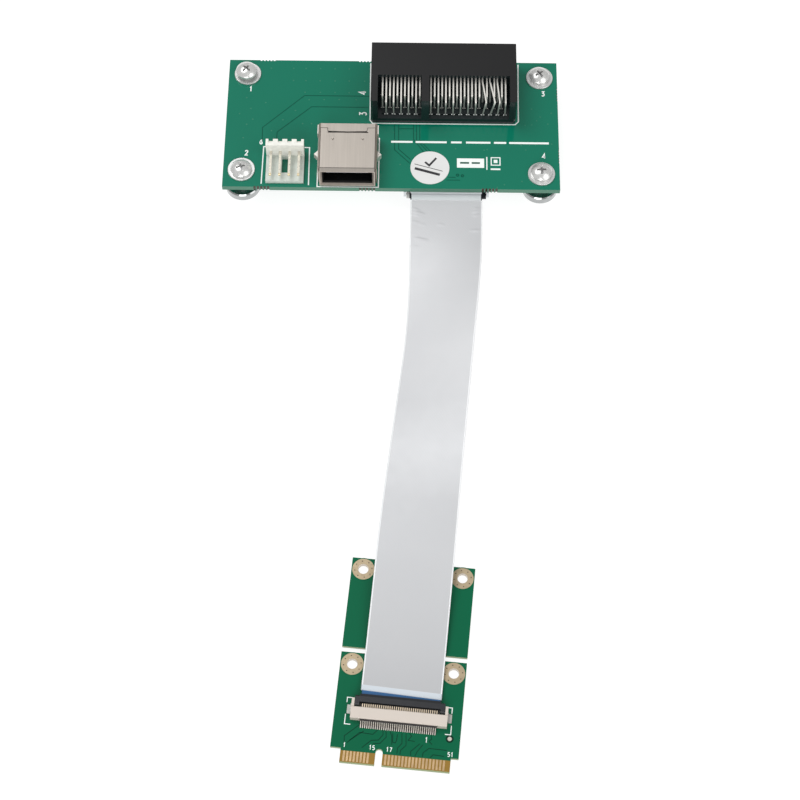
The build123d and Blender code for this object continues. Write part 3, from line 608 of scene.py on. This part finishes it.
# Ribbon: the CAD route's points, in millimetres
ribbon = {
    "route": [
        (14.71, 55.2, 5.1), (14.71, 38.1, 5.1), (13.5, 16.3, 6.7), (10.9, -8.9, 7.2),
        (8.3, -35.1, 6.0), (5.745, -64.719, 1.95), (4.381, -80.159, 1.95),
    ],
    "width": 19.1,
    "thickness": 0.3,
    "length": 136.1,
    "skin": 0.012,   # how far each face stands off the CAD band
    "sections": 420,
    "columns": 61,
    "whiteEnd": 1.35,
    "endSkew": 0.6,
    "skewFrom": 0.9,
    "margin": 0.32,
    "weave": (9.0, 7.0),   # waves across and along, in radians a millimetre
    # Roll about the line in degrees, by share of the length, smoothed over 41 sections
    "roll": [
        (0, 0), (0.05, 0), (0.2, 17), (0.3, 22), (0.4, 20), (0.5, 16), (0.6, 12), (0.72, 3),
        (0.8, 0), (1, 0),
    ],
    "rollSmooth": 20,
    # Screen tone of the shield print with painted light and shade, by share of the length
    "shadeTones": [
        (0, 197), (0.11, 202), (0.226, 208), (0.337, 211), (0.443, 203), (0.545, 208),
        (0.643, 195), (0.737, 198), (0.829, 195), (0.92, 189), (1, 181),
    ],
    # Distance along, from and to across, slope, height
    "pinches": [
        (2.6, -9.4, -6.6, 0.34, 0.2), (3.6, -9.4, -5.4, 0.25, 0.26),
        (4.6, -9.4, -6.0, 0.14, 0.2), (6.9, -9.4, -6.8, 0.05, 0.18),
        (7.7, -7.4, -5.2, 0.0, 0.16), (7.7, -2.6, -0.2, 0.0, 0.16),
        (11.7, -8.8, -4.4, 0.2, 0.24), (2.8, 7.0, 9.4, -0.22, 0.22),
        (3.9, 6.6, 9.4, -0.34, 0.26), (5.0, 6.9, 9.4, -0.28, 0.2),
        (9.7, 6.0, 9.4, -0.08, 0.16), (14.2, -9.4, -6.4, 0.1, 0.12),
    ],
    "pinchWidth": 0.28,
    "pinchFade": 1.5,
}


def smoothLine(route):
    # The route's own smooth line, read back from a curve with no bevel
    curve = bpy.data.curves.new("route", "CURVE")
    curve.dimensions = "3D"
    curve.resolution_u = 40
    spline = curve.splines.new("NURBS")
    spline.points.add(len(route) - 1)
    corners = np.hstack((np.array(route) * mm, np.ones((len(route), 1))))
    spline.points.foreach_set("co", corners.ravel())
    spline.order_u = 3
    spline.use_endpoint_u = True
    holder = bpy.data.objects.new("route", curve)
    mesh = bpy.data.meshes.new_from_object(holder)
    line = np.zeros(len(mesh.vertices) * 3)
    mesh.vertices.foreach_get("co", line)
    bpy.data.meshes.remove(mesh)
    bpy.data.objects.remove(holder)
    bpy.data.curves.remove(curve)
    return line.reshape(-1, 3) / mm


def ribbonPaint(shown):
    # Shield print between white margins and a pale end. Its tone follows a table down the band,
    # which holds painted light and shade, and its weave is two crossed fine waves
    p = Paint("ribbon_film", tint(214, 216, 219), roughness=0.42, metallic=0.2)
    uv = p.add("ShaderNodeUVMap", uv_map="along")
    parts = p.add("ShaderNodeSeparateXYZ")
    p.link(uv.outputs["UV"], parts.inputs[0])
    across, along = parts.outputs[0], parts.outputs[1]
    edge = ribbon["width"] / 2 - ribbon["margin"]
    margin = p.fade(p.math("ABSOLUTE", across), edge - 0.05, edge + 0.05)
    last = shown - ribbon["whiteEnd"]
    atEnd = p.fade(along, last - 0.05, last + 0.05)
    white = p.math("MAXIMUM", margin, atEnd)
    # Painted light and shade down the band, over the print's grey
    ramp = p.add("ShaderNodeValToRGB")
    stops = ramp.color_ramp.elements
    stops.remove(stops[1])
    for i, (share, tone) in enumerate(ribbon["shadeTones"]):
        stop = stops[0] if i == 0 else stops.new(share)
        stop.color = tint(tone, tone + 1, tone + 3)
    p.link(p.math("DIVIDE", along, shown), ramp.inputs[0])
    waves = [
        p.math("SINE", p.math("MULTIPLY", way, rate))
        for way, rate in zip((across, along), ribbon["weave"])
    ]
    weave = p.math("MULTIPLY", *waves)
    dull = tint(180, 183, 188)
    shade = p.mix(p.fade(weave, -1, 1, 0, 0.1), ramp.outputs[0], dull)
    shade = p.mix(p.cloud(14, 0, 0.08, low=0.35, high=0.65), shade, dull)
    pale = p.mix(atEnd, tint(240, 242, 243), tint(200, 208, 215))
    p.feed("Base Color", p.mix(white, shade, pale))
    p.feed("Metallic", p.fade(white, 0, 1, 0.2, 0.0))
    p.feed("Roughness", p.cloud(2.5, 0.5, 0.54, detail=4))
    relief = (p.math("MULTIPLY", height, 0.3) for height in (weave, p.noise(6, 2, (1, 0.6, 1))))
    p.bump(p.math("ADD", *relief), 0.008)
    return p.mat


def ribbonBand():
    # Cross-sections along the line, each turned about it: the across direction is level at both
    # ends, turns from one connector's to the other's, and rolls by a smoothed table in between.
    # Shallow pinches near the upper end lift the film by small Gaussian ridges
    line = smoothLine(ribbon["route"])
    steps = np.linalg.norm(np.diff(line, axis=0), axis=1)
    s = np.concatenate(((0,), np.cumsum(steps)))
    count = ribbon["sections"]
    shown = float(s[-1])
    t = np.linspace(0, shown, count)
    line = np.stack([np.interp(t, s, line[:, k]) for k in range(3)], 1)
    tangent = np.gradient(line, axis=0)
    tangent /= np.linalg.norm(tangent, axis=1)[:, None]
    f = t / shown
    turn = cardTurn * (3 * f**2 - 2 * f**3)
    across = np.stack((np.cos(turn), np.sin(turn), np.zeros(count)), 1)
    across -= (across * tangent).sum(1)[:, None] * tangent
    across /= np.linalg.norm(across, axis=1)[:, None]
    up = np.cross(across, -tangent)
    up *= np.sign(up[:, 2:3])
    share, degrees = np.array(ribbon["roll"]).T
    pad = ribbon["rollSmooth"]
    roll = np.pad(np.radians(np.interp(f, share, degrees)), pad, mode="edge")
    roll = np.convolve(roll, np.ones(2 * pad + 1) / (2 * pad + 1), "valid")[:, None]
    a = across * np.cos(roll) + up * np.sin(roll)
    n = up * np.cos(roll) - across * np.sin(roll)
    w = np.linspace(-0.5, 0.5, ribbon["columns"]) * ribbon["width"]
    lift = np.zeros((count, len(w)))
    for y, left, right, slope, height in ribbon["pinches"]:
        ridge = y + slope * (w - left)
        inner, outer = (np.clip(d / ribbon["pinchFade"], 0, 1) for d in (w - left, right - w))
        far = (t[:, None] - ridge) / ribbon["pinchWidth"]
        lift += height * inner * outer * np.exp(-(far**2))
    half = ribbon["thickness"] / 2 + ribbon["skin"]
    # The last part is drawn out more on its right, so that the end is cut at a slight slant
    late = np.clip((f - ribbon["skewFrom"]) / (1 - ribbon["skewFrom"]), 0, 1)[:, None] ** 2
    reach = ribbon["endSkew"] * late * (0.5 + w / ribbon["width"])
    middle = line[:, None] + a[:, None] * w[None, :, None] + tangent[:, None] * reach[..., None]
    top = middle + n[:, None] * (half + lift[..., None])
    low = middle + n[:, None] * (lift[..., None] - half)
    ring = np.concatenate((top, low[:, ::-1]), 1)
    size = ring.shape[1]
    faces = gridFaces(count, size, 0, True)
    faces.append(list(range(size)))
    faces.append(list(range((count - 1) * size, count * size))[::-1])
    piece = newPiece("ribbon_band", ring.reshape(-1, 3), faces, ribbonPaint(shown), smooth=True)
    uv = piece.data.uv_layers.new(name="along")
    loops = np.zeros(len(piece.data.loops), np.int32)
    piece.data.loops.foreach_get("vertex_index", loops)
    places = np.stack((np.tile(np.concatenate((w, w[::-1])), count), np.repeat(t, size)), 1)
    uv.data.foreach_set("uv", places[loops].ravel())
    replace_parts(piece, "ribbon_cable")


ribbonBand()
print("ribbon made")


# Print and traces of the main board, (x, y from the front edge)
board = {
    "line": 0.3,
    "outlines": [
        {"points": [
            (-6.2, 42.1), (-6.05, 23.07), (-5.32, 22.05), (33.4, 22.1), (34.25, 23.07),
            (34.3, 31.95), (34.45, 42.1),
        ], "width": 0.3},
        {"points": [(-19.75, 17.3), (-19.75, 1.45), (-3.4, 1.45), (-3.4, 17.3)], "width": 0.3},
        {"points": [
            (-34.69, 2.17), (-34.52, 14.06), (-22.15, 13.9), (-22.05, 1.9),
        ], "width": 0.3},
        bar(25.57, 9.45, 4.1, 0.3, 90),
        bar(21.2, 9.47, 7.3, 2.95),
        {"points": [
            (26.75, 8.9), (29.1, 8.9), (29.1, 11.3), (26.75, 11.3),
        ], "width": 0.28, "closed": True},
        bar(27.92, 10.1, 1.0, 1.0),
        bar(27.87, 7.6, 2.6, 0.5),
    ],
    # Plain bars where a line of text would be: height, thickness, and middle x and length of each
    "textBars": (16.1, 0.6, (
        (2.7, 5.8), (10.6, 8.4), (17.4, 2.9), (23.3, 6.6), (29.2, 3.3), (37.0, 10.7),
    )),
    "darkBars": [bar(19.6, 9.5, 2.4, 0.5), bar(22.6, 9.5, 2.2, 0.5)],
    # Number, place, height and turn
    "numbers": (
        ("1", -38.9, 33.0, 1.5, 0), ("2", -39.05, 12.0, 1.5, 0), ("3", 41.1, 32.4, 1.5, 0),
        ("4", 40.9, 12.0, 1.5, 0), ("6", -35.3, 15.6, 1.4, 0), ("4", -8.3, 32.1, 1.9, 90),
        ("3", -8.0, 25.1, 1.9, 90),
    ),
    "traceWidth": 0.2,
    "traces": [
        [(-6.3, 31.0), (-24.1, 31.0), (-35.14, 20.3), (-35.0, 15.2)],
        [(-6.5, 27.3), (-22.06, 27.3), (-31.1, 18.9), (-31.17, 16.0)],
        [(0.65, 21.8), (0.76, 13.5), (4.9, 9.2)],
        [(1.76, 21.8), (1.86, 13.7), (5.1, 10.4)],
        [(1.78, 20.35), (5.75, 20.4)],
        [(5.81, 21.8), (5.85, 16.9), (8.6, 12.9)],
        [(6.61, 21.8), (6.64, 16.8), (9.8, 12.9)],
        [(7.47, 21.8), (7.51, 16.7), (10.6, 12.9)],
        [(15.1, 4.9), (17.2, 4.9)],
        [(14.7, 4.0), (18.4, 4.0)],
    ],
    "viaRadius": 0.24,
    "vias": [
        (-33.6, 40.1), (-27.4, 40.1), (-24.0, 40.1), (-20.0, 40.1), (-16.0, 40.1), (-12.1, 40.1),
        (-27.3, 36.0), (-23.9, 36.0), (-20.0, 36.0), (-15.9, 36.0), (-12.0, 36.0), (-7.8, 36.0),
        (-24.0, 32.1), (-19.8, 32.1), (-15.8, 32.1), (-11.9, 32.1), (-22.8, 29.6), (-18.7, 29.7),
        (-14.6, 29.8), (-9.9, 29.8), (-39.9, 30.1), (-38.6, 26.5), (-41.6, 24.8), (-39.5, 21.3),
        (-37.9, 23.0), (-34.6, 28.5), (-26.4, 26.0), (-29.7, 22.9), (-24.3, 21.7), (-21.9, 21.7),
        (-32.7, 19.3), (-40.2, 16.9), (24.9, 13.7), (25.7, 13.9), (34.9, 15.3), (36.1, 13.9),
        (30.2, 2.7), (28.3, 1.8), (34.9, 3.8), (43.1, 15.9), (43.2, 26.0), (40.2, 24.7),
        (39.2, 23.5), (42.2, 22.4), (36.0, 21.9), (37.9, 27.3), (37.8, 22.1), (2.3, 8.8),
        (17.2, 14.1),
    ],
    "pads": [(17.7, 5.6), (19.0, 5.4)],
    "padRadii": (0.45, 0.2),
}
textY, textWidth, textParts = board["textBars"]
boardLines = placed(board["outlines"] + [bar(x, textY, d, textWidth) for x, d in textParts])
for text, x, y, height, turn in board["numbers"]:
    boardLines += number(text, x, y, height, board["line"], turn)
strokes("board_print", boardLines, paints["ink"], deckTop, inkHeight)
strokes(
    "board_print_bars", placed(board["darkBars"]), paints["trace"], deckTop + inkHeight, inkHeight)
boardTraces = placed([{"points": t, "width": board["traceWidth"]} for t in board["traces"]])
strokes("board_traces", boardTraces, paints["trace"], deckTop, traceHeight)
dots("board_vias", onDeck(board["vias"]), board["viaRadius"], paints["via"], deckTop, 0.01)
padOuter, padHole = board["padRadii"]
dots("board_via_pads", onDeck(board["pads"]), padOuter, paints["trace"], deckTop, 0.03, padHole)
print("main board print made")


# Receptacle: the folded flap between its cover and its mouth, lines of painted shade along its
# rear strap, and the ears at its rear, (x from its middle, y from the front edge, z from the board)
port = {
    "coverTop": 6.99,
    "flap": [(1.62, 6.72), (1.37, 6.72), (0.27, 7.10), (0.27, 7.19), (1.62, 6.98)],
    "flapHalf": 7.4,
    # Points and width of each line
    "lines": [
        ([
            (-7.25, 1.6), (-7.3, 14.3), (-5.43, 14.26), (-5.34, 13.4), (-5.1, 13.04),
            (4.89, 13.06), (5.08, 13.5), (5.2, 14.3), (7.3, 14.35), (7.25, 1.6),
        ], 0.14),
        ([(-5.15, 13.04), (0.0, 12.9), (4.95, 13.06)], 0.42),
        ([(-7.2, 1.6), (7.2, 1.6)], 0.16),
    ],
    "lineHeight": 0.012,
    "ears": [([(x, 12.6), (x, 15.4)], 0.34) for x in (-7.95, 7.95)],
    "earBase": 4.4,
    "earHeight": 2.3,
}


def portStrokes(name, lines, paint, base, height):
    # Strokes given as (points, width) on the receptacle, at a base above the board
    shown = [{"points": onPort(points), "width": width} for points, width in lines]
    strokes(name, shown, paint, deckTop + base, height)


flap = np.array(port["flap"]) + (frontY, deckTop)
flapSpan = (portX - port["flapHalf"], portX + port["flapHalf"])
drawn("port_flap", flap, flapSpan, paints["cover"])
# Painted shade in the strap's slot and gaps, and along its front edge
portStrokes("port_shade_lines", port["lines"], paints["shade"], port["coverTop"], port["lineHeight"])
portStrokes("port_ears", port["ears"], paints["cover"], port["earBase"], port["earHeight"])
print("receptacle details made")


# The slot's two upper rows of contacts, each a bar swept along its own path, three of them bent
slotPins = {
    "width": 0.38,
    "thickness": 0.3,
    "outer": [*np.arange(-1.63, 7, 2), *np.arange(10.37, 31, 2)],
    "inner": [*np.arange(-2.63, 8, 2), *np.arange(11.37, 30, 2)],
    "outerTail": 79.831,
    "innerTail": 81.931,
    "tailLow": 5.25,
    "slab": 1.85,   # top of the housing's base above the board
    "run": 15.05,
    "corner": ((0.08, -0.2), (0.35, 0.0)),   # (y past the tail, z past the run) at the turn
    "roof": 86.88,
    "spring": [(89.68, 15.05), (94.48, 14.25), (96.08, 14.75)],
    # By x: the shifts of the run's near end and of the bend
    "bent": {24.37: (-0.2, 0.75), 26.37: (-0.2, 1.1), 28.37: (-0.25, 0.4)},
    "dotOffset": 0.34,
    "dotRadii": (0.15, 0.13),
}


def pinBars(name, places, tailY, paint):
    # Each path runs forward at one height, turns down at its tail and ends below the board. A
    # section (w, t) stands at each point: place + w * X + t * (the mean of its runs' normals)
    high = slotPins["run"]
    half, thin = slotPins["width"] / 2, slotPins["thickness"] / 2
    points, faces = [], []
    for x in places:
        end, bend = slotPins["bent"].get(round(float(x), 2), (0.0, 0.0))
        path = np.array((
            (x, tailY, slotPins["tailLow"]), (x, tailY, deckTop + slotPins["slab"]),
            *[(x + bend, tailY + y, high + z) for y, z in slotPins["corner"]],
            (x + end, slotPins["roof"], high), *[(x, y, z) for y, z in slotPins["spring"]],
        ))
        run = np.diff(path[:, 1:], axis=0)
        run /= np.linalg.norm(run, axis=1)[:, None]
        mean = np.vstack((run[:1], run)) + np.vstack((run, run[-1:]))
        mean /= np.linalg.norm(mean, axis=1)[:, None]
        normal = thin * np.column_stack((np.zeros(len(path)), -mean[:, 1], mean[:, 0]))
        side = np.array((half, 0, 0))
        corners = (-side - normal, -side + normal, side + normal, side - normal)
        rings = np.stack([path + corner for corner in corners], 1)
        faces += barFaces(rings, len(points), True)
        points += rings.reshape(-1, 3).tolist()
    return newPiece(name, points, faces, paint)


for row, nodeName, pieceName in (
    ("outer", "slot_pins_upper_outer", "slot_pins_outer_row"),
    ("inner", "slot_pins_upper_inner", "slot_pins_inner_row"),
):
    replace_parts(pinBars(pieceName, slotPins[row], slotPins[row + "Tail"], paints["pin"]), nodeName)
# Small painted highlights to both sides of each tail
glintRows = (("slot_foot_glints", "outer", "ink"), ("slot_foot_glints_back", "inner", "contact"))
for (name, row, paint), radius in zip(glintRows, slotPins["dotRadii"]):
    offset = slotPins["dotOffset"]
    spots = [(x + d, slotPins[row + "Tail"]) for x in slotPins[row] for d in (-offset, offset)]
    dots(name, spots, radius, paints[paint], deckTop + slotPins["slab"], 0.03)
print("slot contacts made")


# Sticker: a tick, a rule and a bar, all tilted alike
sticker = {
    "thickness": 0.12,
    "marks": [
        {"points": [(9.0, 9.6), (10.1, 8.5), (12.0, 10.9)], "width": 0.55},
        {"points": [(6.17, 8.95), (13.73, 6.7)], "width": 0.16},
        bar(9.6, 6.55, 7.0, 0.75, -16.6),
    ],
}
stickerTop = deckTop + sticker["thickness"]
strokes("sticker_print", placed(sticker["marks"]), paints["darkInk"], stickerTop, inkHeight)

# Print, traces and plating of the edge card, (across, up from the end of its tongue)
card = {
    "outlines": [
        {"points": [(-12.3, 14.45), (-12.3, 15.65), (-11.1, 15.65)], "width": 0.2},
        {"points": [(-12.3, 11.6), (-12.3, 9.2), (-10.9, 9.2)], "width": 0.2},
        {"points": [(12.5, 14.1), (12.5, 15.5), (11.5, 15.5)], "width": 0.2},
        {"points": [(12.66, 11.2), (12.66, 9.0), (11.3, 9.0)], "width": 0.2},
    ],
    "numberLine": 0.165,
    # Number, place and height
    "numbers": (
        ("1", -11.74, 4.15, 1.0), ("15", -5.29, 4.14, 1.0), ("17", -1.28, 4.06, 1.0),
        ("51", 13.0, 4.3, 1.0), ("1", 7.14, 7.22, 1.2),
    ),
    "traceWidth": 0.15,
    "traces": [
        [(-8.84, 9.23), (-11.99, 6.33), (-11.87, 4.87)],
        [(-7.61, 7.88), (-10.68, 5.36)],
        [(-4.44, 8.44), (-5.4, 7.31), (-8.53, 7.49), (-11.21, 4.76)],
        [(-3.16, 8.5), (-3.02, 7.48), (-3.95, 6.09), (-5.6, 5.87), (-7.65, 3.9)],
        [(-2.42, 8.5), (-2.25, 6.95), (-3.51, 5.35), (-5.16, 5.13)],
        [(-1.45, 8.4), (-0.97, 7.32), (-0.76, 5.26)],
        [(-0.81, 8.07), (-0.59, 5.89), (0.02, 5.8), (0.24, 6.46), (0.33, 7.94)],
        [(1.32, 8.29), (1.57, 5.86), (0.66, 4.67), (0.63, 3.28)],
        [(2.27, 8.38), (2.56, 5.47), (1.38, 4.13), (1.36, 3.16)],
        [(3.11, 8.35), (3.64, 7.79), (2.91, 6.73), (4.48, 6.6)],
        [(5.71, 6.16), (3.76, 4.13), (3.86, 3.12)],
        [(6.44, 5.99), (5.3, 4.29), (4.82, 3.02)],
        [(12.1, 5.22), (7.94, 5.28), (6.67, 4.13), (6.59, 3.15)],
        [(11.6, 3.75), (9.02, 3.88), (8.38, 3.09)],
        [(8.12, 8.48), (8.33, 7.52), (7.78, 6.98), (8.56, 6.27)],
    ],
    "holes": [(u, v) for u in (-12.1, 12.1) for v in (23.9, 48.1)],
    "landTop": 0.05,
    "ringVias": (2.1, 8, 12, 0.14),   # circle's radius, number, first angle, via's radius
    # Plated wall of each hole, and mask over the rim of its land, (r, z)
    "barrel": [(1.2, 0.02), (1.295, 0.02), (1.295, 1.07), (1.2, 1.07)],
    "rim": [(2.7, 1.0), (2.905, 1.0), (2.905, 1.062), (2.7, 1.062)],
    "mark": (12.51, 8.02),
    "markRadii": (0.95, 0.5),
    # Painted shade in the gaps behind the contacts' risers and between their tails: from and to
    # across, up, width, height
    "rootShade": (-8.75, 9.25, 10.04, 0.48, 1.615),
    "tailShade": (-8.75, 9.25, 9.45, 1.6, 0.012),
}


def cardDots(name, places, radius, paint, base, height, hole=0.01):
    dots(name, onCard(places), radius, paints[paint], cardTop + base, height, hole)


def cardShade(name, left, right, v, width, height):
    # One straight strip of painted shade across the card
    line = {"points": [(left, v), (right, v)], "width": width}
    strokes(name, placed([line], onCard), paints["gap"], cardTop, height)


cardLines = placed(card["outlines"], onCard)
for text, u, v, height in card["numbers"]:
    cardLines += number(text, u, v, height, card["numberLine"], 0, onCard)
strokes("card_print", cardLines, paints["ink"], cardTop, inkHeight)
cardTraces = placed([{"points": t, "width": card["traceWidth"]} for t in card["traces"]], onCard)
strokes("card_traces", cardTraces, paints["cardTrace"], cardTop, traceHeight)
circle, viaCount, firstAngle, viaRadius = card["ringVias"]
angles = np.radians(np.arange(viaCount) * 360 / viaCount + firstAngle)
landVias = [
    (u + circle * math.cos(b), v + circle * math.sin(b)) for u, v in card["holes"] for b in angles
]
cardDots("land_vias", landVias, viaRadius, "hole", card["landTop"], 0.012)
markOuter, markInner = card["markRadii"]
cardDots("card_mark_ring", [card["mark"]], markOuter, "cardTrace", 0, 0.01, markInner)
cardDots("card_mark", [card["mark"]], markInner, "barrel", 0, 0.03)
landPlaces = [(x, y, 0) for x, y in onCard(card["holes"])]
turned("land_barrels", landPlaces, card["barrel"], paints["barrel"], 64)
turned("land_rims", landPlaces, card["rim"], paints["cardMask"], 64)
cardShade("root_shade", *card["rootShade"])
cardShade("tail_shade", *card["tailShade"])
print("edge card print made")


# Camera of the photograph, in millimetres and degrees, and its near and far limits in metres
camera = {
    "place": (5.223, -216.481, 426.130), "turn": (26.7377, -0.0712, 0.7037), "lens": 84.274,
    "sensor": 36, "limits": (0.01, 20),
}

# Soft studio light: place, aim and size in millimetres, strength in watts
lights = {
    "key": {"place": (-260, 260, 620), "aim": (0, 0, 0), "size": 420, "watts": 2.0},
    "fill": {"place": (420, -200, 480), "aim": (0, 0, 0), "size": 500, "watts": 1.0},
    "front": {"place": (-60, -560, 380), "aim": (0, 0, 0), "size": 420, "watts": 1.7},
}
worldLight = {"colour": (1.0, 1.0, 1.0), "strength": 0.46}
ground = {"reach": 3.0, "depth": -0.00005, "tone": 0.25, "glow": 0.85}   # in metres


def aimed(thing, place, aim):
    # Turns a lamp's -Z axis from its place towards the aim
    way = Vector(aim) - Vector(place)
    thing.location = Vector(place) * mm
    thing.rotation_euler = way.to_track_quat("-Z", "Y").to_euler()


def studio():
    # The photograph's camera, three disc lamps, an even world and a pale floor
    scene = bpy.context.scene
    data = bpy.data.cameras.new("camera")
    data.lens = camera["lens"]
    data.sensor_width = camera["sensor"]
    data.clip_start, data.clip_end = camera["limits"]
    view = bpy.data.objects.new("camera", data)
    view.location = [c * mm for c in camera["place"]]
    view.rotation_euler = [math.radians(c) for c in camera["turn"]]
    scene.collection.objects.link(view)
    scene.camera = view
    scene.view_settings.view_transform = "Standard"
    for name, lamp in lights.items():
        light = bpy.data.lights.new(name, "AREA")
        light.shape = "DISK"
        light.size = lamp["size"] * mm
        light.energy = lamp["watts"]
        piece = bpy.data.objects.new(name, light)
        scene.collection.objects.link(piece)
        aimed(piece, lamp["place"], lamp["aim"])
    world = bpy.data.worlds.new("studio")
    scene.world = world
    world.use_nodes = True
    back = world.node_tree.nodes["Background"]
    back.inputs["Color"].default_value = (*worldLight["colour"], 1)
    back.inputs["Strength"].default_value = worldLight["strength"]
    floorPaint = Paint("floor", (*[ground["tone"]] * 3, 1), roughness=0.9, specular=0.05)
    floorPaint.set("Emission Color", (1, 1, 1, 1))
    floorPaint.set("Emission Strength", ground["glow"])
    mesh = bpy.data.meshes.new("floor")
    r, z = ground["reach"], ground["depth"]
    mesh.from_pydata([(-r, -r, z), (r, -r, z), (r, r, z), (-r, r, z)], [], [(0, 1, 2, 3)])
    mesh.materials.append(floorPaint.mat)
    floor = bpy.data.objects.new("floor", mesh)
    scene.collection.objects.link(floor)


studio()
print("studio made")
